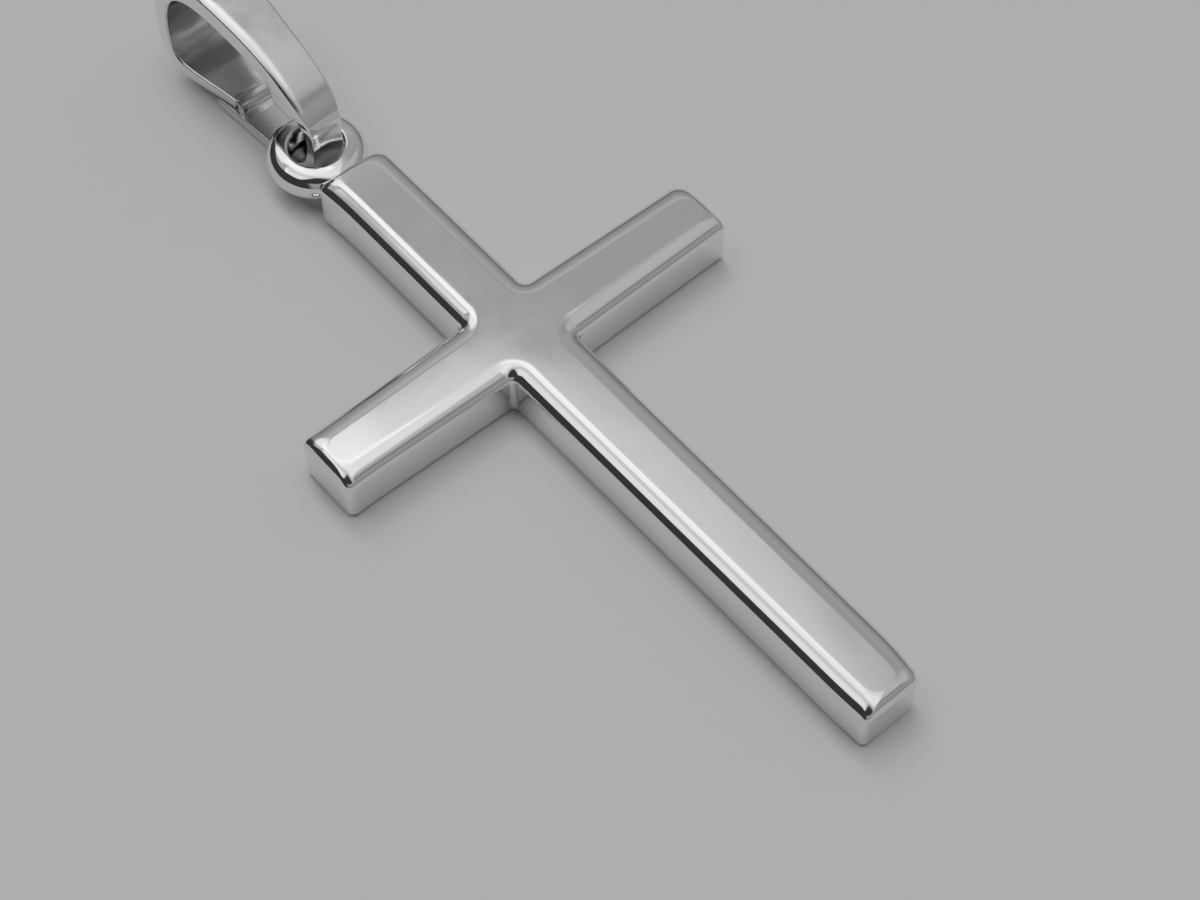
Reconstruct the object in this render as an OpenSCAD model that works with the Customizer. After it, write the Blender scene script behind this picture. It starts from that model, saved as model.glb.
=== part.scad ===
// Cross pendant with a soldered ring and a strip bail, lying on its back.
// Millimetres. The crossing's middle on the flat back is the origin, +X runs along
// the arms, +Y up the upright toward the ring, +Z out of the front.

/* [Cross] */
// Height of the cross along the upright, from end to end
cross_length = 30; // [24:0.5:60]
// Span of the arms, from end to end
cross_span = 18.1; // [14:0.1:40]
// From the top end down to the middle of the arms
arms_drop = 10.06; // [7:0.02:20]
// Thickness from the flat back to the front
cross_t = 2.3; // [2:0.05:4]
// Width of both bars where they cross
bar_w = 2.98; // [2.4:0.02:5]
// Width of the upright at its foot
foot_w = 2.84; // [2.4:0.02:5]
// Width of the arms at their ends
arm_end_w = 2.72; // [2.4:0.02:5]
// How far the middle of each end stands out beyond its corners
end_bow = 0.08; // [0:0.02:0.3]

/* [Edges] */
// How far down the walls the rounding of the front edges reaches
front_round = 0.46; // [0.2:0.02:0.8]
// How far in over the front the same rounding reaches
front_reach = 0.8; // [0.3:0.02:1]
// Rounding of the back edges
back_round = 0.28; // [0.1:0.02:0.6]
// Rounding of the upright corners at the bar ends, seen from the front
corner_r = 0.52; // [0.2:0.02:1]
// Rounding of the four inner corners, seen from the front
inner_r = 0.28; // [0.2:0.02:1.5]

/* [Ring] */
// Width of the ring's hole
ring_hole = 2.16; // [2:0.02:5]
// Thickness of the ring's wire across the ring
wire_w = 0.88; // [0.7:0.02:1.6]
// Height of the ring's wire
wire_h = 1.2; // [1:0.02:1.7]
// Height of the ring's middle above the back of the cross
ring_lift = 1.25; // [1.2:0.01:1.6]
// How far the ring sits to the left of the upright's middle
ring_aside = 0.26; // [0:0.02:0.5]
// Depth that the ring's wire sinks into the end of the upright at the solder
ring_bite = 0.14; // [0.1:0.02:0.3]

/* [Bail] */
// Reach of the bail, from the middle of the ring to its far end
bail_reach = 8.8; // [7.5:0.1:16]
// Height of the bail above the back of the cross
bail_h = 5.4; // [4.6:0.1:8]
// Width of the strip at its wide end
bail_w = 3.3; // [2.4:0.1:6]
// Thickness of the strip at its wide end
bail_t = 0.9; // [0.6:0.05:1.1]
// Play between the strip and the ring's wire that it passes under
bail_play = 0.08; // [0.05:0.01:0.15]

/* [Hidden] */
ring_r = (ring_hole + wire_w)/2;
ring_y = arms_drop + ring_r + wire_w/2 - ring_bite;
hole_r = ring_hole/2;
tab_t = ring_lift - wire_h/2 - bail_play;
neck_w = 0.64*ring_hole;
arc_steps = 5;
small_arc_steps = 3;
ring_steps = 96;
wire_steps = 32;
strip_steps = 3;
edge_share = 0.35;
silver = [0.75, 0.75, 0.74];

// The points of an arc about a middle, in equal steps.
function arc(middle, r, from, to, steps) = [
    for (i = [0 : steps])
        let (a = from + (to - from)*i/steps)
        middle + r*[cos(a), sin(a)]
];

function turned(p, quarter) =
    quarter == 0 ? p :
    quarter == 1 ? [-p[1], p[0]] :
    quarter == 2 ? -p :
    [p[1], -p[0]];

// The four bars, one a quarter turn on from the last: distance of the end, width of the end.
bars = [
    [cross_span/2, arm_end_w],
    [arms_drop, bar_w],
    [cross_span/2, arm_end_w],
    [cross_length - arms_drop, foot_w]
];

// One bar that points along +X, from the inner corner on its right round to its left side.
function bar_outline(end, end_w, inset) =
    let (
        side = end_w/2 - inset,
        r = min(norm([corner_r - inset, inset/2]), 0.9*side),
        far = end - end_bow - inset
    )
    concat(
        arc([far - r, r - side], r, -90, 0, arc_steps),
        [for (s = [-0.5 : 0.25 : 0.5]) [far + end_bow*(1 - 4*s*s), 2*s*(side - r)]],
        arc([far - r, side - r], r, 0, 90, arc_steps)
    );

function inner_corner(inset) =
    arc([bar_w/2 + inner_r, bar_w/2 + inner_r], inner_r + inset, 270, 180, arc_steps);

// The outline of the cross, drawn in by an inset.
function cross_outline(inset) = [
    for (quarter = [0 : 3])
        for (p = concat(bar_outline(bars[quarter][0], bars[quarter][1], inset), inner_corner(inset)))
            turned(p, quarter)
];

// The levels of the cross from the back up: inset, height.
function cross_levels() = concat(
    [for (a = [0 : 90/small_arc_steps : 90])
        [back_round*(1 - sin(a)), back_round*(1 - cos(a))]],
    [for (a = [0 : 90/arc_steps : 90])
        [front_reach*(1 - cos(a)), cross_t - front_round*(1 - sin(a))]]
);

module cross_body() {
    levels = cross_levels();
    count = len(cross_outline(0));
    last = len(levels) - 1;
    rims = [for (level = levels) for (p = cross_outline(level[0])) [p[0], p[1], level[1]]];
    points = concat(rims, [[0, 0, 0], [0, 0, cross_t]]);
    walls = [
        for (k = [0 : last - 1])
            for (i = [0 : count - 1])
                let (j = (i + 1) % count, low = k*count, high = low + count)
                each [[low + i, high + i, high + j], [low + i, high + j, low + j]]
    ];
    back = [for (i = [0 : count - 1]) [len(rims), i, (i + 1) % count]];
    front = [
        for (i = [0 : count - 1])
            [len(rims) + 1, last*count + (i + 1) % count, last*count + i]
    ];
    polyhedron(points, concat(walls, back, front));
}

module ring() {
    translate([-ring_aside, ring_y, ring_lift])
        rotate_extrude($fn = ring_steps)
            translate([ring_r, 0]) {
                square([wire_w, wire_h - wire_w], center = true);
                for (end = [-1, 1])
                    translate([0, end*(wire_h - wire_w)/2])
                        circle(d = wire_w, $fn = wire_steps);
            }
}

// The cross and its ring are soldered, so they are one solid.
module cross() {
    color(silver)
        union() {
            cross_body();
            ring();
        }
}

// The folds of the strip, from the tab's end through the ring, over the top and back
// onto the tab: distance from the ring's middle, height, shift aside, width, thickness.
folds = [
    [0.60*bail_reach, tab_t/2, -0.13*bail_w, 0.50*bail_w, 0.9*tab_t],
    [0.41*bail_reach, tab_t/2, -0.12*bail_w, 0.45*bail_w, tab_t],
    [1.20*ring_r, tab_t/2, -0.11*bail_w, neck_w, tab_t],
    [0.60*ring_r, tab_t/2, -0.08*bail_w, neck_w, tab_t],
    [0.10*hole_r, 0.10*bail_h, -0.05*bail_w, neck_w, 0.95*tab_t],
    [-0.27*hole_r, 0.26*bail_h, -0.02*bail_w, neck_w, 0.95*tab_t],
    [-0.30*hole_r, 0.46*bail_h, -0.01*bail_w, 0.60*ring_hole, 0.66*bail_t],
    [-0.01*bail_reach, 0.64*bail_h, 0.01*bail_w, 0.50*bail_w, 0.74*bail_t],
    [0.11*bail_reach, 0.77*bail_h, 0.01*bail_w, 0.56*bail_w, 0.86*bail_t],
    [0.27*bail_reach, 0.87*bail_h, 0.02*bail_w, 0.56*bail_w, 0.98*bail_t],
    [0.50*bail_reach, 0.93*bail_h, 0.03*bail_w, 0.64*bail_w, bail_t],
    [0.74*bail_reach, 0.97*bail_h, 0.05*bail_w, 0.76*bail_w, bail_t],
    [0.92*bail_reach, 0.86*bail_h, 0.05*bail_w, 0.90*bail_w, bail_t],
    [0.96*bail_reach, 0.47*bail_h, 0.03*bail_w, 0.98*bail_w, 0.9*bail_t],
    [0.88*bail_reach, 0.18*bail_h, -0.01*bail_w, 1.00*bail_w, 0.85*bail_t],
    [0.72*bail_reach, 1.60*tab_t, -0.05*bail_w, 0.80*bail_w, 0.7*bail_t],
    [0.58*bail_reach, 1.55*tab_t, -0.06*bail_w, 0.58*bail_w, 0.62*bail_t],
    [0.49*bail_reach, 1.50*tab_t, -0.07*bail_w, 0.50*bail_w, 0.6*bail_t]
];

// A smooth curve drawn toward the rows of a table, at a place between two of them.
function smooth(rows, place) =
    let (
        last = len(rows) - 1,
        i = min(floor(place), last - 1),
        t = place - i,
        before = i > 0 ? rows[i - 1] : 2*rows[0] - rows[1],
        after = i + 2 <= last ? rows[i + 2] : 2*rows[last] - rows[last - 1]
    )
    ((1 - t)^3*before + (3*t^3 - 6*t^2 + 4)*rows[i]
        + (-3*t^3 + 3*t^2 + 3*t + 1)*rows[i + 1] + t^3*after)/6;

// A section of the strip with rounded edges: across, outward.
function strip_section(w, t) =
    let (r = edge_share*t, x = w/2 - r, y = t/2 - r)
    concat(
        arc([x, y], r, 0, 90, small_arc_steps),
        arc([-x, y], r, 90, 180, small_arc_steps),
        arc([-x, -y], r, 180, 270, small_arc_steps),
        arc([x, -y], r, 270, 360, small_arc_steps)
    );

module strip() {
    stations = (len(folds) - 1)*strip_steps;
    spots = [for (s = [0 : stations]) smooth(folds, s/strip_steps)];
    rims = [
        for (s = [0 : stations])
            let (
                spot = spots[s],
                run = spots[min(s + 1, stations)] - spots[max(s - 1, 0)],
                length = norm([run[0], run[1]]),
                out = [run[1], -run[0]]/length
            )
            [for (p = strip_section(spot[3], spot[4]))
                [spot[2] + p[0], ring_y + spot[0] + p[1]*out[0], spot[1] + p[1]*out[1]]]
    ];
    count = len(rims[0]);
    points = [for (rim = rims) each rim];
    walls = [
        for (s = [0 : stations - 1])
            for (i = [0 : count - 1])
                let (j = (i + 1) % count, low = s*count, high = low + count)
                each [[low + i, high + i, high + j], [low + i, high + j, low + j]]
    ];
    start = [for (i = [0 : count - 1]) i];
    finish = [for (i = [0 : count - 1]) stations*count + count - 1 - i];
    polyhedron(points, concat(walls, [start, finish]));
}

// The solder that joins the strip's two ends where they lap, with a hollow slope in front.
module lap_solder() {
    front = 0.43*bail_reach;
    back = 0.58*bail_reach;
    base = 0.7*tab_t;
    rise = 1.2*tab_t;
    steepness = 1.5;
    w = 0.40*bail_w;
    slope = [for (p = arc([0, rise], rise, 270, 345, arc_steps)) [front + p[0]/steepness, p[1]]];
    translate([-0.10*bail_w - w/2, ring_y, base])
        rotate([90, 0, 90])
            linear_extrude(w)
                polygon(concat(slope, [[0.50*bail_reach, rise], [back, rise], [back, 0]]));
}

module bail() {
    color(silver)
        union() {
            strip();
            lap_solder();
        }
}

cross();
bail();
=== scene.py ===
"""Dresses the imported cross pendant: polished silver on the cross, its soldered ring and the strip bail."""
import math

import bmesh
import bpy
from mathutils import Matrix, Vector


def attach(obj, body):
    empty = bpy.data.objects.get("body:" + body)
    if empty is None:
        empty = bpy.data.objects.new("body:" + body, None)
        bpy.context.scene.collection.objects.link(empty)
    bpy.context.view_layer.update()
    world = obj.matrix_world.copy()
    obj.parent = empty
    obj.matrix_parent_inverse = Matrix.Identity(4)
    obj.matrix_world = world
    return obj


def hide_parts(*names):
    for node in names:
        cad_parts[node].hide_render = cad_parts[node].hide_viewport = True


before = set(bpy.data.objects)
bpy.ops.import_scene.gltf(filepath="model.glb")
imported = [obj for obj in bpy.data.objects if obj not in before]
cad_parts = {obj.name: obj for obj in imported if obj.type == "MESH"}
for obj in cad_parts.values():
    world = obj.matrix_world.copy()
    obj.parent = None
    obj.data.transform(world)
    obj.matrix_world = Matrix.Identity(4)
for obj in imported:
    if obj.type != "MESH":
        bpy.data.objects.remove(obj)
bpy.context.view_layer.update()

bl_info = {
    "name": "Cross Pendant",
    "version": (1, 0, 0),
    "blender": (4, 5, 0),
    "location": "View3D > Sidebar > Pendant",
    "description": "Builds a polished cross pendant with a soldered ring and a strip bail",
    "category": "Add Mesh",
}

MM = 0.001
BODY = "root"
MERGE_DISTANCE = 0.0001*MM


# Kinds of setting.
def length(name, text, value_mm, low_mm=0.0, high_mm=100.0):
    """A length in metres, from a size in millimetres."""
    return bpy.props.FloatProperty(
        name=name, description=text, default=value_mm*MM, min=low_mm*MM, max=high_mm*MM,
        precision=5, subtype="DISTANCE", unit="LENGTH")


def share(name, text, value, low=0.0, high=1.0):
    """A share between two limits."""
    return bpy.props.FloatProperty(
        name=name, description=text, default=value, min=low, max=high, precision=3, subtype="FACTOR")


def tint(name, text, value):
    """A colour."""
    return bpy.props.FloatVectorProperty(
        name=name, description=text, default=value, min=0.0, max=1.0, size=3, subtype="COLOR")


def brightness(name, text, value):
    """The brightness of a light or of a part of the room."""
    return bpy.props.FloatProperty(name=name, description=text, default=value, min=0.0, soft_max=20.0)


class CrossSizes(bpy.types.PropertyGroup):
    cross_length: length("Height", "Height of the cross from end to end", 30)
    cross_span: length("Span", "Span of the arms from end to end", 18.1)
    arms_drop: length("Arms' drop", "From the top end down to the middle of the arms", 10.06)
    cross_t: length("Thickness", "Thickness from the flat back to the front", 2.3)
    bar_w: length("Bar width", "Width of both bars where they cross", 2.98)
    foot_w: length("Foot width", "Width of the upright at its foot", 2.84)
    arm_end_w: length("Arm end width", "Width of the arms at their ends", 2.72)
    end_bow: length("End bow", "How far the middle of each end stands out", 0.08)
    front_round: length("Front rounding", "How far down the walls the front edges' rounding reaches", 0.46)
    front_reach: length("Front reach", "How far in over the front the same rounding reaches", 0.8)
    back_round: length("Back rounding", "Rounding of the back edges", 0.28)
    corner_r: length("End corner", "Rounding of the corners at the bar ends", 0.52)
    inner_r: length("Inner corner", "Rounding of the four inner corners", 0.28)
    end_run: length("End run", "How far back from an end its sides draw in", 2.2)


class RingSizes(bpy.types.PropertyGroup):
    ring_hole: length("Hole", "Width of the ring's hole", 2.16)
    wire_w: length("Wire width", "Thickness of the wire across the ring", 0.88)
    wire_h: length("Wire height", "Height of the ring's wire", 1.2)
    ring_lift: length("Lift", "Height of the ring's middle above the back", 1.25)
    ring_aside: length("Aside", "How far the ring sits left of the upright's middle", 0.26)
    ring_bite: length("Bite", "Depth that the wire sinks into the end of the upright", 0.14)
    solder_size: length("Solder bead", "Size of the solder bead on the ring", 0.26)


class BailSizes(bpy.types.PropertyGroup):
    bail_reach: length("Reach", "Reach of the bail from the middle of the ring", 8.8)
    bail_h: length("Height", "Height of the bail above the back of the cross", 5.4)
    bail_w: length("Width", "Width of the strip at its wide end", 3.3)
    bail_t: length("Thickness", "Thickness of the strip at its wide end", 0.9)
    bail_play: length("Play", "Play between the strip and the ring's wire", 0.08)


class SilverLook(bpy.types.PropertyGroup):
    colour: tint("Silver", "Colour of the polished metal", (0.79, 0.79, 0.785))
    # Painted shade: a darker colour laid over the bail's inner face and the lap solder, standing in for the
    # shade and dark reflections there.
    painted_shade: tint("Tarnish", "Colour where polishing doesn't reach, inside the bail", (0.46, 0.46, 0.455))
    haze: share("Haze", "Roughness of the polish", 0.07)
    satin: share("Satin", "Roughness of the duller polish on the bail", 0.17)
    scratch: share("Scratches", "Strength of the fine polishing scratches", 0.2)


class StudioSettings(bpy.types.PropertyGroup):
    floor_colour: tint("Floor", "Colour of the plain floor", (0.66, 0.66, 0.66))
    strip_light: brightness("Strip light", "Brightness of the narrow light overhead", 9.0)
    main_light: brightness("Main light", "Brightness of the main light at its dimmer side", 1.08)
    left_light: brightness("Left light", "Brightness of the soft light on the left", 3.0)
    overhead: brightness("Overhead", "Brightness of the room above and behind the camera", 1.15)
    beyond: brightness("Beyond", "Brightness of the room beyond the object", 0.42)
    low_near: brightness("Low near", "Brightness of the room low down behind the camera", 0.25)
    low_beyond: brightness("Low beyond", "Brightness of the room low down beyond the object", 0.13)
    low_left: brightness("Low left", "Brightness of the room low down on the left", 0.05)


# Small helpers for node trees.
def wire(tree, value, socket):
    """Feeds a socket from another socket, or sets it to a plain value."""
    if isinstance(value, bpy.types.NodeSocket):
        tree.links.new(value, socket)
    else:
        socket.default_value = value


def calc(tree, operation, *values):
    node = tree.nodes.new("ShaderNodeMath")
    node.operation = operation
    for value, socket in zip(values, node.inputs):
        wire(tree, value, socket)
    return node.outputs[0]


def vector_calc(tree, operation, *values, scale=None):
    node = tree.nodes.new("ShaderNodeVectorMath")
    node.operation = operation
    for value, socket in zip(values, node.inputs):
        wire(tree, value, socket)
    if scale is not None:
        wire(tree, scale, node.inputs["Scale"])
    return node.outputs["Value"] if operation == "DOT_PRODUCT" else node.outputs[0]


def remap(tree, value, low, high, to_low, to_high):
    """Turns a value between two limits into one between two others, and holds it there."""
    node = tree.nodes.new("ShaderNodeMapRange")
    wire(tree, value, node.inputs["Value"])
    for socket, number in zip(("From Min", "From Max", "To Min", "To Max"), (low, high, to_low, to_high)):
        wire(tree, number, node.inputs[socket])
    return node.outputs["Result"]


def soft_step(tree, value, low, high, to_low, to_high):
    """As remap, with soft ends."""
    result = remap(tree, value, low, high, to_low, to_high)
    result.node.interpolation_type = "SMOOTHSTEP"
    return result


def noise(tree, vector, scale, detail=3.0, roughness=0.5):
    """Soft random clouds; the scale is how many there are in a metre."""
    node = tree.nodes.new("ShaderNodeTexNoise")
    wire(tree, vector, node.inputs["Vector"])
    wire(tree, scale, node.inputs["Scale"])
    node.inputs["Detail"].default_value = detail
    node.inputs["Roughness"].default_value = roughness
    return node.outputs["Fac"]


def blended_colour(tree, below, above, mask):
    """Lays one colour over another through a mask."""
    node = tree.nodes.new("ShaderNodeMix")
    node.data_type = "RGBA"
    for value, socket in ((mask, "Factor"), (below, "A"), (above, "B")):
        wire(tree, value, node.inputs[socket])
    return node.outputs["Result"]


def blended(tree, below, above, mask):
    """Lays one brightness over another through a mask."""
    node = tree.nodes.new("ShaderNodeMix")
    node.data_type = "FLOAT"
    for value, socket in ((mask, "Factor"), (below, "A"), (above, "B")):
        wire(tree, value, node.inputs[socket])
    return node.outputs["Result"]


def group_socket(tree, name, in_out, kind="NodeSocketFloat", value=None):
    socket = tree.interface.new_socket(name=name, in_out=in_out, socket_type=kind)
    if value is not None:
        socket.default_value = value


def placed_group(tree, group, **inputs):
    """Places a node group; an input's name is written with _ for each space."""
    node = tree.nodes.new("ShaderNodeGroup")
    node.node_tree = group
    for name, value in inputs.items():
        wire(tree, value, node.inputs[name.replace("_", " ")])
    return node.outputs


def named(tree, name, data_type):
    """Reads an attribute."""
    node = tree.nodes.new("GeometryNodeInputNamedAttribute")
    node.data_type = data_type
    node.inputs["Name"].default_value = name
    return node.outputs["Attribute"]


def store(tree, geometry, name, value, data_type):
    """Writes an attribute on to the points."""
    node = tree.nodes.new("GeometryNodeStoreNamedAttribute")
    node.data_type = data_type
    node.domain = "POINT"
    node.inputs["Name"].default_value = name
    wire(tree, geometry, node.inputs["Geometry"])
    wire(tree, value, node.inputs["Value"])
    return node.outputs["Geometry"]


# Bars swept along a path: the ring, the strip and the solder.
# A section's heights are shares of its thickness, from -0.5 inside to 0.5 outside.
INNER_FACE = -0.5
EDGE_ROUNDING = 0.14
WORKING_NAMES = ("bar_", "share_", "centre", "outward", "across")


def rolled(tree, across, out, roll):
    """Turns the two directions of a section about its path, right side inward."""
    turns = []
    for one, other, sign in ((across, out, -1.0), (out, across, 1.0)):
        turn = calc(tree, "MULTIPLY", calc(tree, "SINE", roll), sign)
        kept = vector_calc(tree, "SCALE", one, scale=calc(tree, "COSINE", roll))
        moved = vector_calc(tree, "SCALE", other, scale=turn)
        turns.append(vector_calc(tree, "ADD", kept, moved))
    return turns


def swept_bar_tree():
    """Sweeps a section along a path whose points hold the bar's width, thickness, roll and dents."""
    tree = bpy.data.node_groups.new("swept_bar", "GeometryNodeTree")
    for name, kind in (("Path", "Geometry"), ("Section", "Object"), ("Across", "Vector"),
                       ("Smooth Path", "Bool"), ("Stations", "Int"), ("Dent Size", "Float"),
                       ("Metal", "Material")):
        tree.interface.new_socket(name=name, in_out="INPUT", socket_type="NodeSocket" + kind)
    tree.interface.new_socket(name="Bar", in_out="OUTPUT", socket_type="NodeSocketGeometry")
    given = tree.nodes.new("NodeGroupInput").outputs

    # The path, smoothed and cut into stations.
    curve = tree.nodes.new("GeometryNodeMeshToCurve")
    wire(tree, given["Path"], curve.inputs["Mesh"])
    smooth = tree.nodes.new("GeometryNodeCurveSplineType")
    smooth.spline_type = "NURBS"
    wire(tree, curve.outputs["Curve"], smooth.inputs["Curve"])
    wire(tree, given["Smooth Path"], smooth.inputs["Selection"])
    spaced = tree.nodes.new("GeometryNodeResampleCurve")
    spaced.mode = "COUNT"
    wire(tree, smooth.outputs["Curve"], spaced.inputs["Curve"])
    wire(tree, given["Stations"], spaced.inputs["Count"])

    # The directions at each station, kept for after the sweep.
    place = tree.nodes.new("GeometryNodeInputPosition").outputs[0]
    tangent = tree.nodes.new("GeometryNodeInputTangent").outputs[0]
    path = store(tree, spaced.outputs["Curve"], "centre", place, "FLOAT_VECTOR")
    out = vector_calc(tree, "NORMALIZE", vector_calc(tree, "CROSS_PRODUCT", given["Across"], tangent))
    across, out = rolled(tree, given["Across"], out, named(tree, "bar_roll", "FLOAT"))
    path = store(tree, path, "across", across, "FLOAT_VECTOR")
    path = store(tree, path, "outward", out, "FLOAT_VECTOR")

    # The section along the path.
    section = tree.nodes.new("GeometryNodeObjectInfo")
    wire(tree, given["Section"], section.inputs["Object"])
    rim = tree.nodes.new("GeometryNodeMeshToCurve")
    wire(tree, section.outputs["Geometry"], rim.inputs["Mesh"])
    sweep = tree.nodes.new("GeometryNodeCurveToMesh")
    wire(tree, path, sweep.inputs["Curve"])
    wire(tree, rim.outputs["Curve"], sweep.inputs["Profile Curve"])
    sweep.inputs["Fill Caps"].default_value = True

    # Each point goes to its shares of the width and of the thickness there.
    thickness = named(tree, "bar_thickness", "FLOAT")
    wide = calc(tree, "MULTIPLY", named(tree, "share_wide", "FLOAT"), named(tree, "bar_width", "FLOAT"))
    edge = calc(tree, "MULTIPLY", named(tree, "share_edge", "FLOAT"), thickness)
    thick = calc(tree, "MULTIPLY", named(tree, "share_thick", "FLOAT"), thickness)
    aside = calc(tree, "ADD", wide, edge)
    beside = vector_calc(tree, "SCALE", named(tree, "across", "FLOAT_VECTOR"), scale=aside)
    outward = named(tree, "outward", "FLOAT_VECTOR")
    above = vector_calc(tree, "SCALE", outward, scale=thick)
    offset = vector_calc(tree, "ADD", beside, above)
    target = vector_calc(tree, "ADD", named(tree, "centre", "FLOAT_VECTOR"), offset)
    shape = tree.nodes.new("GeometryNodeSetPosition")
    wire(tree, sweep.outputs["Mesh"], shape.inputs["Geometry"])
    wire(tree, target, shape.inputs["Position"])

    # Soft dents in and out.
    dents = tree.nodes.new("ShaderNodeTexNoise")
    dents.inputs["Detail"].default_value = 1.0
    spot = tree.nodes.new("GeometryNodeInputPosition").outputs[0]
    wire(tree, spot, dents.inputs["Vector"])
    wire(tree, calc(tree, "DIVIDE", 1.0, given["Dent Size"]), dents.inputs["Scale"])
    swing = calc(tree, "SUBTRACT", dents.outputs["Fac"], 0.5)
    depth = calc(tree, "MULTIPLY", swing, named(tree, "bar_dents", "FLOAT"))
    dented = tree.nodes.new("GeometryNodeSetPosition")
    wire(tree, shape.outputs["Geometry"], dented.inputs["Geometry"])
    wire(tree, vector_calc(tree, "SCALE", outward, scale=depth), dented.inputs["Offset"])

    # The inner face is marked, so that a material can paint shade over it.
    inner = remap(tree, named(tree, "share_thick", "FLOAT"), INNER_FACE + EDGE_ROUNDING, INNER_FACE, 0.0, 1.0)
    marked = store(tree, dented.outputs["Geometry"], "painted_shade_face", inner, "FLOAT")

    real = tree.nodes.new("GeometryNodeRealizeInstances")
    wire(tree, marked, real.inputs["Geometry"])
    metal = tree.nodes.new("GeometryNodeSetMaterial")
    wire(tree, real.outputs["Geometry"], metal.inputs["Geometry"])
    wire(tree, given["Metal"], metal.inputs["Material"])
    result = tree.nodes.new("NodeGroupOutput")
    wire(tree, metal.outputs["Geometry"], result.inputs["Bar"])
    return tree


def polyline(name, points, closed, columns):
    """A line through points as an object; each column is a number stored on every point."""
    mesh = bpy.data.meshes.new(name)
    count = len(points)
    edges = [(i, (i + 1) % count) for i in range(count if closed else count - 1)]
    mesh.from_pydata(points, edges, [])
    for label, numbers in columns.items():
        mesh.attributes.new(label, "FLOAT", "POINT").data.foreach_set("value", numbers)
    line = bpy.data.objects.new(name, mesh)
    bpy.context.scene.collection.objects.link(line)
    return line


def swept_bar(name, path, closed, across, stations, section, dent_size, material):
    """Makes a bar from path rows (point, width, thickness, roll, dents) and section rows of shares."""
    points, widths, thicknesses, rolls, dents = zip(*path)
    route = polyline(name + "_path", points, closed, {
        "bar_width": widths, "bar_thickness": thicknesses, "bar_roll": rolls, "bar_dents": dents})
    wides, edges, thicks = zip(*section)
    # The sweep only needs the rim's points in order; their real places follow from the shares.
    rim_points = [(wide*MM, thick*MM, 0.0) for wide, thick in zip(wides, thicks)]
    rim = polyline(name + "_section", rim_points, True,
                   {"share_wide": wides, "share_edge": edges, "share_thick": thicks})
    tree = bpy.data.node_groups.get("swept_bar") or swept_bar_tree()
    modifier = route.modifiers.new("bar", "NODES")
    modifier.node_group = tree
    values = {
        "Section": rim, "Across": across, "Smooth Path": not closed, "Stations": stations,
        "Dent Size": dent_size, "Metal": material,
    }
    for item in tree.interface.items_tree:
        if item.item_type == "SOCKET" and item.in_out == "INPUT" and item.name in values:
            modifier[item.identifier] = values[item.name]
    graph = bpy.context.evaluated_depsgraph_get()
    solid = bpy.data.meshes.new_from_object(route.evaluated_get(graph), depsgraph=graph)
    bpy.data.objects.remove(route)
    bpy.data.objects.remove(rim)
    return finished_piece(name, solid, material)


def finished_piece(name, mesh, material):
    """Closes a mesh, points its faces outward, smooths it and links it as a named object."""
    shape = bmesh.new()
    shape.from_mesh(mesh)
    bmesh.ops.remove_doubles(shape, verts=shape.verts, dist=MERGE_DISTANCE)
    bmesh.ops.recalc_face_normals(shape, faces=shape.faces)
    for f in shape.faces:
        f.smooth = True
    shape.to_mesh(mesh)
    shape.free()
    for label in [a.name for a in mesh.attributes if a.name.startswith(WORKING_NAMES)]:
        mesh.attributes.remove(mesh.attributes[label])
    mesh.name = name
    mesh.materials.clear()
    mesh.materials.append(material)
    piece = bpy.data.objects.new(name, mesh)
    bpy.context.scene.collection.objects.link(piece)
    return piece


def mounted(piece, node):
    """Puts a piece in its node's place on the pendant."""
    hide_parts(node)
    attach(piece, BODY)


# The cross.
END_DRAW = 0.55
BOW_STEPS = 4
SIDE_STEPS = 12


def lofted(name, rims, cap_points, material):
    """A closed skin over rims of equal length, with a middle point in the first and in the last."""
    count = len(rims[0])
    points = [p for rim in rims for p in rim] + cap_points
    faces = []
    for k in range(len(rims) - 1):
        low, high = k*count, (k + 1)*count
        for i in range(count):
            j = (i + 1) % count
            faces.append((low + i, low + j, high + j, high + i))
    last = (len(rims) - 1)*count
    first_middle, last_middle = len(points) - 2, len(points) - 1
    faces += [(first_middle, (i + 1) % count, i) for i in range(count)]
    faces += [(last_middle, last + i, last + (i + 1) % count) for i in range(count)]
    mesh = bpy.data.meshes.new(name)
    mesh.from_pydata(points, [], faces)
    return finished_piece(name, mesh, material)


def arc(middle, r, start, end, steps):
    """Points of an arc, from one angle to another in degrees."""
    turns = [math.radians(start + (end - start)*i/steps) for i in range(steps + 1)]
    return [(middle[0] + r*math.cos(a), middle[1] + r*math.sin(a)) for a in turns]


def bar_outline(s, bar, inset, steps):
    """One bar that points along +X, from its right side round its bowed end to its left.

    Each half has two shares: how round the outline of its corner is, and how far its side draws in there.
    """
    end, end_w, bow, right, left = bar
    side, full_bend = end_w/2 - inset, end_w*end_w/8/bow
    middle, bend = end - full_bend, full_bend - END_DRAW*inset
    halves = []
    for roundness, nip in (right, left):
        r = min(s.corner_r*(roundness + (1 - roundness)*inset/s.front_reach), 0.9*side)
        lean = math.asin((side - r)/(bend - r))
        corner_x = middle + (bend - r)*math.cos(lean)
        widening = (s.bar_w - end_w)/2/(corner_x - s.bar_w/2 - s.inner_r)
        half = arc((middle, 0), bend, 0, math.degrees(lean), BOW_STEPS)[:-1]
        half += arc((corner_x, side - r), r, math.degrees(lean), 90, steps)
        for k in range(1, SIDE_STEPS + 1):
            back = s.end_run*k/SIDE_STEPS
            half.append((corner_x - back, side + widening*back))
        halves.append([(x, y*(1 - nip*max(0.0, 1 - (end - x)/s.end_run)**2)) for x, y in half])
    return [(x, -y) for x, y in reversed(halves[0])] + halves[1][1:]


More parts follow.
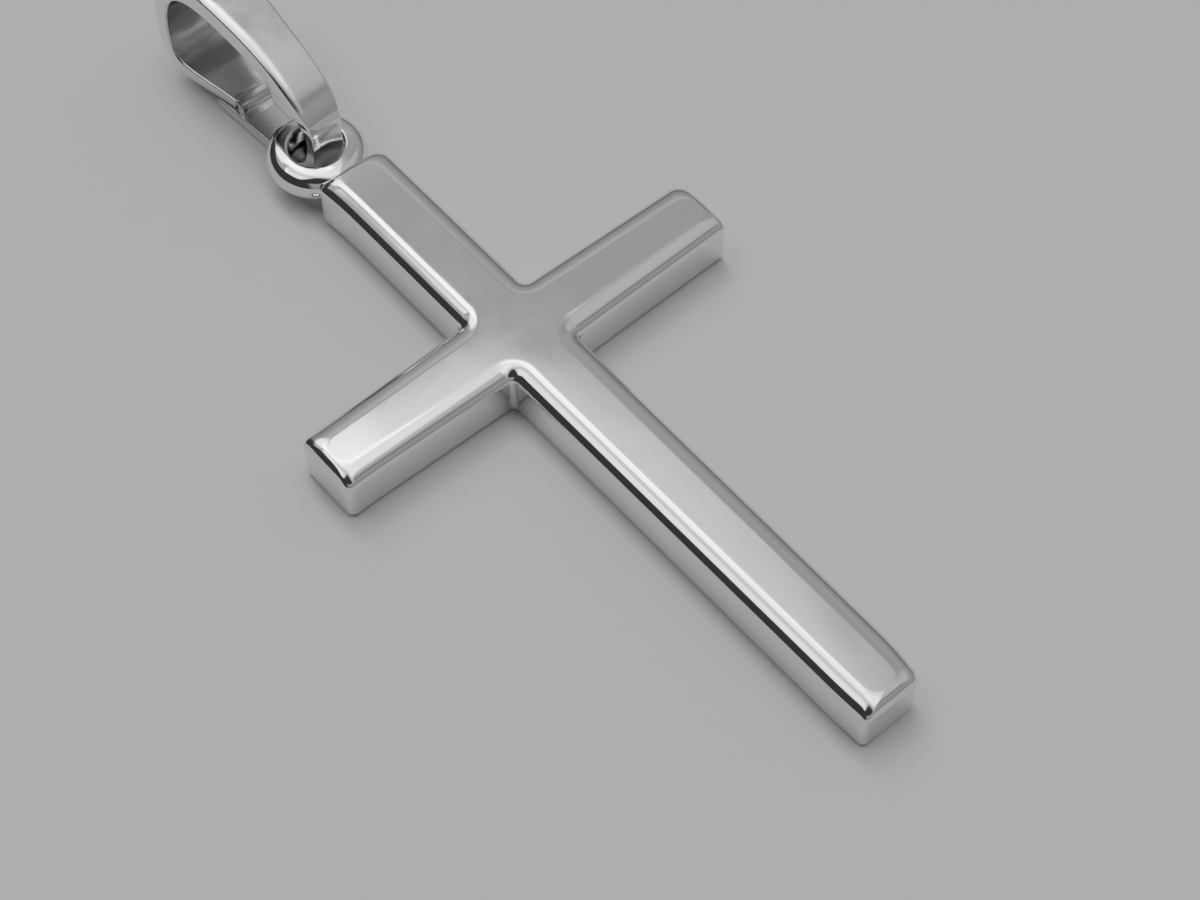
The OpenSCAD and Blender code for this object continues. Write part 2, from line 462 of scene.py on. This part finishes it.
def cross_outline(s, inset, steps=10):
    """The outline of the cross, drawn in by an inset."""
    foot = s.cross_length - s.arms_drop
    bars = (
        # distance of the end, width of the end, its bow, roundness and nip of its right and left corners
        (s.cross_span/2, s.arm_end_w, 1.5*s.end_bow, (0.3, 0.0), (1.1, 0.0)),
        (s.arms_drop, s.bar_w, s.end_bow, (1.0, 0.0), (0.4, -0.08)),
        (0.987*s.cross_span/2, s.arm_end_w, 0.5*s.end_bow, (0.4, 0.0), (0.6, -0.03)),
        (0.99*foot, s.foot_w, 0.5*s.end_bow, (0.4, 0.05), (0.7, 0.17)),
    )
    inner = s.bar_w/2 + s.inner_r
    outline = []
    for quarter, bar in enumerate(bars):
        points = bar_outline(s, bar, inset, steps)
        points += arc((inner, inner), s.inner_r + inset, 270, 180, steps)
        for _ in range(quarter):
            points = [(-y, x) for x, y in points]
        outline += points
    return outline


def cross_levels(s, back_steps=8, front_steps=22):
    """The levels of the cross from its back up, each an inset and a height.

    A level just past each end of a rounding holds the flat faces beside it flat.
    """
    hold = 0.02*MM
    levels = [(s.back_round + hold, 0.0)]
    for k in range(back_steps + 1):
        a = math.pi/2*k/back_steps
        levels.append((s.back_round*(1 - math.sin(a)), s.back_round*(1 - math.cos(a))))
    levels.append((0.0, s.back_round + hold))
    levels.append((0.0, s.cross_t - s.front_round - hold))
    for k in range(front_steps + 1):
        a = math.pi/2*k/front_steps
        levels.append((s.front_reach*(1 - math.cos(a)), s.cross_t - s.front_round*(1 - math.sin(a))))
    levels.append((s.front_reach + hold, s.cross_t))
    return levels


def build_cross(context):
    s = context.scene.cross_sizes
    rims = [[(x, y, z) for x, y in cross_outline(s, inset)] for inset, z in cross_levels(s)]
    caps = [(0, 0, 0), (0, 0, s.cross_t)]
    silver = polished_silver(context, "cross_silver", ripple=1.0)
    mounted(lofted("polished_cross", rims, caps, silver), "cross")


# The ring.
# Where the seam between ring and cross ends on the left, as a turn about the ring.
SEAM_END = math.radians(-129.5)


def ring_middle(context):
    c, r = context.scene.cross_sizes, context.scene.ring_sizes
    radius = (r.ring_hole + r.wire_w)/2
    return Vector((-r.ring_aside, c.arms_drop + radius + r.wire_w/2 - r.ring_bite, r.ring_lift)), radius


def rounded_corner(wide, edge, thick, r, start, steps=6):
    """A quarter of a circle in a section, as shares: of the width, of the thickness, and outward."""
    turns = [math.radians(start + 90*k/steps) for k in range(steps + 1)]
    return [(wide, edge + r*math.cos(a), thick + r*math.sin(a)) for a in turns]


def wire_section(outer_steps=12, inner_steps=6, below_steps=10):
    """The ring's wire: worn to a flat that slopes outward on top, and half round below."""
    slope = math.radians(10)
    inner, flat, hold = 0.14, 0.30, 0.03
    flat_edge = -inner + inner*math.cos(slope) - flat*math.tan(slope)
    flat_thick = 0.5 - inner - inner*math.sin(slope) - flat
    outer = (flat_thick + 0.5)/(1 - math.sin(slope))
    rows = []
    for k in range(outer_steps + 1):
        a = -math.pi/2 + (math.pi/2 - slope)*k/outer_steps
        edge = flat_edge - outer*math.cos(slope) + outer*math.cos(a)
        rows.append((0.5, edge, outer - 0.5 + outer*math.sin(a)))
    for k in range(inner_steps + 1):
        a = -slope + (math.pi/2 + slope)*k/inner_steps
        rows.append((0.5, -inner + inner*math.cos(a), 0.5 - inner + inner*math.sin(a)))
    rows.append((0.5, -inner - hold, 0.5))
    rows.append((-0.5, 0.5 + hold, 0.5))
    rows += rounded_corner(-0.5, 0.5, 0, 0.5, 90, below_steps)
    return rows + rounded_corner(-0.5, 0.5, 0, 0.5, 180, below_steps)[1:]


def build_ring(context, stations=96, dents=0.004*MM, dent_size=1.5*MM):
    s = context.scene.ring_sizes
    middle, radius = ring_middle(context)
    path = []
    for k in range(stations):
        a = math.tau*k/stations
        spot = middle + radius*Vector((math.cos(a), math.sin(a), 0))
        path.append((spot, s.wire_h, s.wire_w, 0.0, dents))
    silver = polished_silver(context, "ring_silver", ripple=0.8)
    ring = swept_bar("soldered_ring", path, True, (0, 0, 1), stations, wire_section(), dent_size, silver)
    mounted(ring, "cross")


def build_solder_bead(context):
    """The small bead of solder left on the ring's wall at the end of the seam."""
    r = context.scene.ring_sizes
    middle, radius = ring_middle(context)
    out = Vector((math.cos(SEAM_END), math.sin(SEAM_END), 0.0))
    spot = middle + (radius + r.wire_w/2)*out + Vector((0.0, 0.0, -0.05*r.wire_h))
    mesh = bpy.data.meshes.new("solder_bead")
    shape = bmesh.new()
    bmesh.ops.create_icosphere(shape, subdivisions=4, radius=r.solder_size/2)
    # It is longer along the wire than it stands out from it.
    stretch = Matrix.Diagonal((1.3, 0.9, 0.7)).to_4x4()
    place = Matrix.Translation(spot) @ Matrix.Rotation(SEAM_END + math.pi/2, 4, "Z") @ stretch
    bmesh.ops.transform(shape, matrix=place, verts=shape.verts)
    shape.to_mesh(mesh)
    shape.free()
    silver = polished_silver(context, "bead_silver", ripple=1.5)
    mounted(finished_piece("solder_bead", mesh, silver), "cross")


# The bail.
def tab_thickness(context):
    """What the ring's lift leaves free under its wire, less the play."""
    b, r = context.scene.bail_sizes, context.scene.ring_sizes
    return r.ring_lift - r.wire_h/2 - b.bail_play


def strip_section(across_steps=12, shoulder_steps=8, turn_steps=7):
    """The strip's section: flat faces, small roundings, and a soft shoulder on the outer left."""
    small, shoulder, drop, turn_r, hold = EDGE_ROUNDING, 0.38, 0.055, 0.14, 0.03
    rows = rounded_corner(0.5, -small, 0.5 - small, small, 0)
    left_stop = turn_r + shoulder
    for k in range(across_steps + 1):
        s = k/across_steps
        rows.append((0.5 - s, -(small + hold)*(1 - s) + left_stop*s, 0.5))
    for k in range(1, shoulder_steps + 1):
        s = k/shoulder_steps
        rows.append((-0.5, left_stop - shoulder*s, 0.5 - drop*s*s))
    slope = math.degrees(math.atan(2*drop/shoulder))
    for k in range(1, turn_steps + 1):
        a = math.radians(90 + slope + (90 - slope)*k/turn_steps)
        rows.append((-0.5, turn_r + turn_r*math.cos(a), 0.5 - drop - turn_r*(1 - math.sin(a))))
    rows += rounded_corner(-0.5, small, small - 0.5, small, 180)
    for k in range(across_steps + 1):
        s = k/across_steps
        rows.append((s - 0.5, (small + hold)*(1 - 2*s), -0.5))
    return rows + rounded_corner(0.5, -small, small - 0.5, small, 270)


def bail_folds(context):
    """The strip's folds from the tab through the ring and back onto the tab."""
    b, r = context.scene.bail_sizes, context.scene.ring_sizes
    middle, ring_r = ring_middle(context)
    tab_t = tab_thickness(context)
    neck_w, hole_r = 0.64*r.ring_hole, r.ring_hole/2
    reach, high, wide, thick = b.bail_reach, b.bail_h, b.bail_w, b.bail_t
    rows = (
        # distance from the ring's middle, height, shift aside, width, thickness, roll in degrees, dents in mm
        (0.60*reach, tab_t/2, -0.13*wide, 0.50*wide, 0.9*tab_t, 0, 0.02),
        (0.41*reach, tab_t/2, -0.12*wide, 0.45*wide, tab_t, 0, 0.03),
        (1.20*ring_r, tab_t/2, -0.11*wide, neck_w, tab_t, 0, 0.01),
        (0.60*ring_r, tab_t/2, -0.08*wide, neck_w, tab_t, 0, 0.01),
        (0.10*hole_r, 0.10*high, -0.05*wide, neck_w, 0.95*tab_t, 0, 0.01),
        (-0.27*hole_r, 0.26*high, -0.02*wide, neck_w, 0.95*tab_t, 0, 0.01),
        (-0.30*hole_r, 0.46*high, -0.01*wide, 0.60*r.ring_hole, 0.66*thick, 2, 0.02),
        (-0.01*reach, 0.64*high, 0.01*wide, 0.50*wide, 0.74*thick, 4, 0.03),
        (0.11*reach, 0.77*high, 0.01*wide, 0.56*wide, 0.86*thick, 2.5, 0.03),
        (0.27*reach, 0.87*high, 0.02*wide, 0.56*wide, 0.98*thick, 4.5, 0.02),
        (0.50*reach, 0.93*high, 0.03*wide, 0.64*wide, thick, 4, 0.02),
        (0.74*reach, 0.97*high, 0.05*wide, 0.76*wide, thick, 4, 0.02),
        (0.92*reach, 0.86*high, 0.05*wide, 0.90*wide, thick, 2, 0.04),
        (0.96*reach, 0.47*high, 0.03*wide, 0.98*wide, 0.9*thick, 0, 0.10),
        (0.88*reach, 0.18*high, -0.01*wide, 1.00*wide, 0.85*thick, 0, 0.12),
        (0.72*reach, 1.60*tab_t, -0.05*wide, 0.80*wide, 0.7*thick, 0, 0.10),
        (0.58*reach, 1.55*tab_t, -0.06*wide, 0.58*wide, 0.62*thick, 0, 0.06),
        (0.49*reach, 1.50*tab_t, -0.07*wide, 0.50*wide, 0.6*thick, 0, 0.03),
    )
    return [(Vector((aside, middle.y + along, up)), w, t, math.radians(roll), dents*MM)
            for along, up, aside, w, t, roll, dents in rows]


def build_bail(context, stations=260, dent_size=1.7*MM):
    # Painted shade on the strip's inner face only.
    silver = polished_silver(context, "bail_silver", ripple=1.2, dull=1.0, painted_shade=0.0)
    strip = swept_bar("strip_bail", bail_folds(context), False, (1, 0, 0), stations,
                      strip_section(), dent_size, silver)
    mounted(strip, "bail")


def solder_section(r=0.12):
    """The solder's section: a block with small roundings at its corners."""
    return (rounded_corner(0.5, -r, 0.5 - r, r, 0) + rounded_corner(-0.5, r, 0.5 - r, r, 90)
            + rounded_corner(-0.5, r, r - 0.5, r, 180) + rounded_corner(0.5, -r, r - 0.5, r, 270))


def build_lap_solder(context, stations=60, dents=0.01*MM, dent_size=0.8*MM):
    """The solder that runs down from the strip's end onto the tab, as a hollow slope."""
    b = context.scene.bail_sizes
    middle, _ = ring_middle(context)
    tab_t = tab_thickness(context)
    reach, wide, deep = b.bail_reach, b.bail_w, 0.45*tab_t
    rows = (
        # distance from the ring's middle, height of the top, shift aside, width
        (0.390*reach, 0.85*tab_t, -0.115*wide, 0.38*wide),
        (0.425*reach, 1.08*tab_t, -0.105*wide, 0.40*wide),
        (0.455*reach, 1.14*tab_t, -0.090*wide, 0.43*wide),
        (0.480*reach, 1.90*tab_t, -0.080*wide, 0.45*wide),
        (0.515*reach, 2.10*tab_t, -0.070*wide, 0.45*wide),
        (0.560*reach, 1.70*tab_t, -0.065*wide, 0.43*wide),
    )
    path = [(Vector((aside, middle.y + along, (top + deep)/2)), w, top - deep, 0.0, dents)
            for along, top, aside, w in rows]
    # Painted shade over most of the solder, standing in for the shade at the lap, and in full on its inner
    # face.
    silver = polished_silver(context, "solder_silver", ripple=1.5, dull=1.3, painted_shade=0.7)
    solder = swept_bar("lap_solder", path, False, (1, 0, 0), stations, solder_section(), dent_size, silver)
    mounted(solder, "bail")


# The silver. Patterns read object coordinates, so their scales are counts in a metre.
RIPPLE_SCALE = 420.0
RIPPLE_HEIGHT = 6.0
BUMP_UNIT = 0.0004*MM


def fine_scratches_group():
    """Hair-fine polishing lines in two directions, as a height."""
    tree = bpy.data.node_groups.get("fine_scratches")
    if tree:
        return tree
    tree = bpy.data.node_groups.new("fine_scratches", "ShaderNodeTree")
    group_socket(tree, "Vector", "INPUT", "NodeSocketVector")
    group_socket(tree, "Strength", "INPUT", value=0.5)
    group_socket(tree, "Height", "OUTPUT")
    given = tree.nodes.new("NodeGroupInput").outputs
    lines = []
    for turn, squeeze in ((0.5, (9000, 500, 2000)), (-0.9, (800, 12000, 2000))):
        spin = tree.nodes.new("ShaderNodeMapping")
        wire(tree, given["Vector"], spin.inputs["Vector"])
        spin.inputs["Rotation"].default_value = (0, 0, turn)
        spin.inputs["Scale"].default_value = squeeze
        lines.append(remap(tree, noise(tree, spin.outputs[0], 1.0, 2.0), 0.58, 0.8, 0.0, 1.0))
    total = calc(tree, "MULTIPLY", calc(tree, "ADD", *lines), given["Strength"])
    result = tree.nodes.new("NodeGroupOutput")
    wire(tree, calc(tree, "MULTIPLY", total, -1.0), result.inputs["Height"])
    return tree


def polish_haze_group():
    """Soft clouds of duller polish, as a roughness and a mask."""
    tree = bpy.data.node_groups.get("polish_haze")
    if tree:
        return tree
    tree = bpy.data.node_groups.new("polish_haze", "ShaderNodeTree")
    group_socket(tree, "Vector", "INPUT", "NodeSocketVector")
    group_socket(tree, "Base Roughness", "INPUT", value=0.12)
    group_socket(tree, "Roughness", "OUTPUT")
    group_socket(tree, "Dulled", "OUTPUT")
    given = tree.nodes.new("NodeGroupInput").outputs
    broad = noise(tree, given["Vector"], 260.0, 4.0, 0.55)
    fine = noise(tree, given["Vector"], 2600.0, 5.0, 0.6)
    mixed = calc(tree, "ADD", calc(tree, "MULTIPLY", broad, 0.7), calc(tree, "MULTIPLY", fine, 0.3))
    dulled = remap(tree, mixed, 0.42, 0.68, 0.0, 1.0)
    rough = calc(tree, "MULTIPLY", given["Base Roughness"], remap(tree, dulled, 0.0, 1.0, 0.75, 1.5))
    result = tree.nodes.new("NodeGroupOutput")
    wire(tree, rough, result.inputs["Roughness"])
    wire(tree, dulled, result.inputs["Dulled"])
    return tree


def with_alpha(colour, brighter=1.0):
    """A colour for a socket, made a little lighter or darker."""
    return (*[min(1.0, brighter*c) for c in colour], 1.0)


def new_material(name):
    """An empty node material: itself, its tree and its object coordinates."""
    material = bpy.data.materials.new(name)
    material.use_nodes = True
    tree = material.node_tree
    tree.nodes.clear()
    return material, tree, tree.nodes.new("ShaderNodeTexCoord").outputs["Object"]


def shown(tree, shader):
    """Ends a material with its shader."""
    output = tree.nodes.new("ShaderNodeOutputMaterial")
    wire(tree, shader.outputs["BSDF"], output.inputs["Surface"])


def polished_silver(context, name, ripple, dull=0.0, painted_shade=None):
    """Polished silver with haze, hairline scratches and a slight ripple.

    Dull leads from the cross's mirror polish at 0 to the bail's satin at 1. Painted shade is its least share
    anywhere on the piece, a darker colour standing in for shade; the inner face has all of it.
    """
    look = context.scene.silver_look
    polish = look.haze + (look.satin - look.haze)*dull
    material, tree, place = new_material(name)
    haze = placed_group(tree, polish_haze_group(), Vector=place, Base_Roughness=polish)
    scratches = placed_group(tree, fine_scratches_group(), Vector=place, Strength=look.scratch)

    colour = blended_colour(tree, with_alpha(look.colour), with_alpha(look.colour, 0.95), haze["Dulled"])
    # Painted shade: the inner face, and the rest of the piece by the given share, is darkened toward the
    # shade colour in patches.
    if painted_shade is not None:
        inner = tree.nodes.new("ShaderNodeAttribute")
        inner.attribute_name = "painted_shade_face"
        cover = calc(tree, "MAXIMUM", inner.outputs["Fac"], painted_shade)
        patches = remap(tree, haze["Dulled"], 0.0, 1.0, 0.7, 1.0)
        dark = calc(tree, "MULTIPLY", cover, patches)
        colour = blended_colour(tree, colour, with_alpha(look.painted_shade), dark)

    waves = calc(tree, "MULTIPLY", noise(tree, place, RIPPLE_SCALE, 1.0), RIPPLE_HEIGHT*ripple)
    bump = tree.nodes.new("ShaderNodeBump")
    bump.inputs["Strength"].default_value = 1.0
    bump.inputs["Distance"].default_value = BUMP_UNIT
    wire(tree, calc(tree, "ADD", waves, scratches["Height"]), bump.inputs["Height"])

    shader = tree.nodes.new("ShaderNodeBsdfPrincipled")
    shader.inputs["Metallic"].default_value = 1.0
    wire(tree, colour, shader.inputs["Base Color"])
    wire(tree, haze["Roughness"], shader.inputs["Roughness"])
    wire(tree, bump.outputs["Normal"], shader.inputs["Normal"])
    shown(tree, shader)
    return material


# The stage.
def stage_floor(context):
    """A wide plain floor, just under the pendant."""
    s = context.scene.studio
    material, tree, place = new_material("pale_floor")
    grain = noise(tree, place, 900.0, 4.0, 0.6)
    shader = tree.nodes.new("ShaderNodeBsdfPrincipled")
    shader.inputs["Roughness"].default_value = 0.75
    tone = blended_colour(tree, with_alpha(s.floor_colour, 0.985), with_alpha(s.floor_colour, 1.015), grain)
    wire(tree, tone, shader.inputs["Base Color"])
    shown(tree, shader)

    half, below = 1.5, -0.004*MM
    mesh = bpy.data.meshes.new("floor")
    corners = [(-half, -half, below), (half, -half, below), (half, half, below), (-half, half, below)]
    mesh.from_pydata(corners, [], [(0, 1, 2, 3)])
    mesh.materials.append(material)
    floor = bpy.data.objects.new("floor", mesh)
    context.scene.collection.objects.link(floor)


def soft_window_group():
    """A soft-edged opening in the ceiling, in shares of its height, as a mask."""
    tree = bpy.data.node_groups.get("soft_window")
    if tree:
        return tree
    tree = bpy.data.node_groups.new("soft_window", "ShaderNodeTree")
    for name in ("Across", "Along", "Left", "Right", "Near", "Far", "Softness"):
        group_socket(tree, name, "INPUT", value=0.0)
    group_socket(tree, "Mask", "OUTPUT")
    given = tree.nodes.new("NodeGroupInput").outputs
    mask = 1.0
    for place, edge, inward in (("Across", "Left", 1.0), ("Across", "Right", -1.0),
                                ("Along", "Near", 1.0), ("Along", "Far", -1.0)):
        depth = calc(tree, "MULTIPLY", calc(tree, "SUBTRACT", given[place], given[edge]), inward)
        inside = calc(tree, "DIVIDE", depth, given["Softness"])
        mask = calc(tree, "MULTIPLY", mask, soft_step(tree, inside, -0.5, 0.5, 0.0, 1.0))
    result = tree.nodes.new("NodeGroupOutput")
    wire(tree, mask, result.inputs["Mask"])
    return tree


def ceiling(tree, s, across, along):
    """The room overhead: each light or dark card in turn over the grey beyond the object."""
    # The main light's far edge bends toward the camera, and its right edge leans to the left.
    bend = calc(tree, "POWER", calc(tree, "MAXIMUM", calc(tree, "SUBTRACT", across, 0.395), 0.0), 2.0)
    far_edge = calc(tree, "SUBTRACT", 0.567, calc(tree, "MULTIPLY", bend, 41.0))
    lean = calc(tree, "MAXIMUM", calc(tree, "SUBTRACT", 0.42, along), 0.0)
    right_edge = calc(tree, "SUBTRACT", 0.443, calc(tree, "MULTIPLY", lean, 0.22))

    near_low = soft_step(tree, along, 0.12, 0.32, 1.5*s.beyond, 0.75*s.beyond)
    near_right = soft_step(tree, across, 0.46, 0.53, 1.65*s.beyond, near_low)
    beyond = calc(tree, "ADD", remap(tree, along, 0.1, 0.5, near_right, s.beyond),
                  soft_step(tree, along, 0.65, 0.72, 0.0, 0.4*s.beyond))
    main = remap(tree, across, 0.30, 0.443, 2.2*s.main_light, s.main_light)
    strip = remap(tree, along, 0.30, 0.55, 0.4*s.strip_light, s.strip_light)
    layers = (
        # brightness, left, right, near and far edge, softness of the edges
        (s.overhead, -9.0, right_edge, -0.55, 0.6, 0.02),
        (beyond, 0.2, 0.5, far_edge, 9.0, 0.006),
        (main, 0.255, right_edge, -0.5, far_edge, 0.006),
        (s.strip_light, 0.2, 0.33, 0.3, far_edge, 0.03),
        (strip, 0.05, 0.27, -0.3, 0.75, 0.12),
        (s.left_light, -0.62, -0.2, -1.0, 0.55, 0.22),
        (1.4*s.left_light, -0.7, -0.1, 0.53, 0.59, 0.05),
        (1.4*s.left_light, -0.05, 0.28, 0.72, 1.5, 0.12),
        (s.low_near, 0.2, 1.5, -3.0, -0.6, 0.35),
        (s.low_left, -9.0, -0.66, -0.6, 9.0, 0.1),
        (s.low_left, -0.95, -0.04, -1.15, 0.05, 0.2),
    )
    light = beyond
    for above, left, right, near, far, soft in layers:
        window = placed_group(tree, soft_window_group(), Across=across, Along=along,
                              Left=left, Right=right, Near=near, Far=far, Softness=soft)
        light = blended(tree, light, above, window["Mask"])
    return light


def room(context):
    """The room: soft lights overhead, grey beyond the object and darker toward the horizon.

    A place on the ceiling is given as across and along, in shares of its height.
    """
    s = context.scene.studio
    world = bpy.data.worlds.new("room")
    context.scene.world = world
    world.use_nodes = True
    tree = world.node_tree
    way = tree.nodes.new("ShaderNodeTexCoord").outputs["Generated"]
    parts = tree.nodes.new("ShaderNodeSeparateXYZ")
    wire(tree, way, parts.inputs[0])
    height = parts.outputs["Z"]
    level = calc(tree, "MAXIMUM", height, 0.05)
    across = calc(tree, "DIVIDE", parts.outputs["X"], level)
    along = calc(tree, "DIVIDE", parts.outputs["Y"], level)
    upper = ceiling(tree, s, across, along)

    near_side = soft_step(tree, parts.outputs["Y"], 0.3, -0.3, 0.0, 1.0)
    leftward = vector_calc(tree, "DOT_PRODUCT", way, (-0.88, 0.47, 0.0))
    left_side = soft_step(tree, leftward, 0.3, 0.5, 0.0, 1.0)
    low = blended(tree, remap(tree, height, 0.0, 0.6, s.low_beyond, s.beyond),
                  remap(tree, height, 0.0, 0.6, s.low_near, 1.5*s.low_near), near_side)
    low = blended(tree, low, s.low_left, left_side)
    light = blended(tree, low, upper, soft_step(tree, height, 0.58, 0.72, 0.0, 1.0))
    back = tree.nodes["Background"]
    back.inputs["Color"].default_value = (1.0, 1.0, 1.0, 1.0)
    wire(tree, light, back.inputs["Strength"])


def camera(context):
    """The photograph's own viewpoint, solved from the cross's edges."""
    around, above = math.radians(-40.57), math.radians(57.5)
    target, distance = Vector((-0.26, -4.85, 0.0))*MM, 93.3*MM
    back = Vector((math.sin(around)*math.cos(above), -math.cos(around)*math.cos(above), math.sin(above)))
    right = Vector((math.cos(around), math.sin(around), 0.0))
    up = back.cross(right)
    data = bpy.data.cameras.new("camera")
    data.sensor_width = 36.0
    data.lens = 77.2
    data.clip_start, data.clip_end = 0.005, 20.0
    eye = bpy.data.objects.new("camera", data)
    turn = Matrix((right, up, back)).transposed().to_4x4()
    eye.matrix_world = Matrix.Translation(target + distance*back) @ turn
    context.scene.collection.objects.link(eye)
    context.scene.camera = eye


# The add-on.
class PENDANT_OT_cross(bpy.types.Operator):
    """Builds the polished cross with its flat front and rounded edges"""
    bl_idname = "pendant.cross"
    bl_label = "Polished cross"

    def execute(self, context):
        build_cross(context)
        return {"FINISHED"}


class PENDANT_OT_ring(bpy.types.Operator):
    """Builds the ring that is soldered to the top end of the cross"""
    bl_idname = "pendant.ring"
    bl_label = "Soldered ring"

    def execute(self, context):
        build_ring(context)
        build_solder_bead(context)
        return {"FINISHED"}


class PENDANT_OT_bail(bpy.types.Operator):
    """Builds the folded strip that a chain runs through"""
    bl_idname = "pendant.bail"
    bl_label = "Strip bail"

    def execute(self, context):
        build_bail(context)
        build_lap_solder(context)
        return {"FINISHED"}


class PENDANT_OT_stage(bpy.types.Operator):
    """Sets up the floor, the soft lights and the camera"""
    bl_idname = "pendant.stage"
    bl_label = "Studio stage"

    def execute(self, context):
        stage_floor(context)
        room(context)
        camera(context)
        return {"FINISHED"}


class PENDANT_PT_panel(bpy.types.Panel):
    bl_idname = "PENDANT_PT_panel"
    bl_label = "Cross Pendant"
    bl_space_type = "VIEW_3D"
    bl_region_type = "UI"
    bl_category = "Pendant"

    def draw(self, context):
        for group, operator in (("silver_look", None), ("cross_sizes", "pendant.cross"),
                                ("ring_sizes", "pendant.ring"), ("bail_sizes", "pendant.bail"),
                                ("studio", "pendant.stage")):
            box = self.layout.box()
            settings = getattr(context.scene, group)
            for name in settings.bl_rna.properties.keys():
                if name not in ("rna_type", "name"):
                    box.prop(settings, name)
            if operator:
                box.operator(operator)


GROUPS = {
    "cross_sizes": CrossSizes, "ring_sizes": RingSizes, "bail_sizes": BailSizes,
    "silver_look": SilverLook, "studio": StudioSettings,
}
OPERATORS = (PENDANT_OT_cross, PENDANT_OT_ring, PENDANT_OT_bail, PENDANT_OT_stage)


def register():
    for name, group in GROUPS.items():
        bpy.utils.register_class(group)
        setattr(bpy.types.Scene, name, bpy.props.PointerProperty(type=group))
    for item in (*OPERATORS, PENDANT_PT_panel):
        bpy.utils.register_class(item)


def unregister():
    for item in reversed((*OPERATORS, PENDANT_PT_panel)):
        bpy.utils.unregister_class(item)
    for name, group in GROUPS.items():
        delattr(bpy.types.Scene, name)
        bpy.utils.unregister_class(group)


def main():
    register()
    bpy.ops.pendant.cross()
    bpy.ops.pendant.ring()
    bpy.ops.pendant.bail()
    bpy.ops.pendant.stage()
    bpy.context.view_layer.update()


if __name__ == "__main__":
    main()
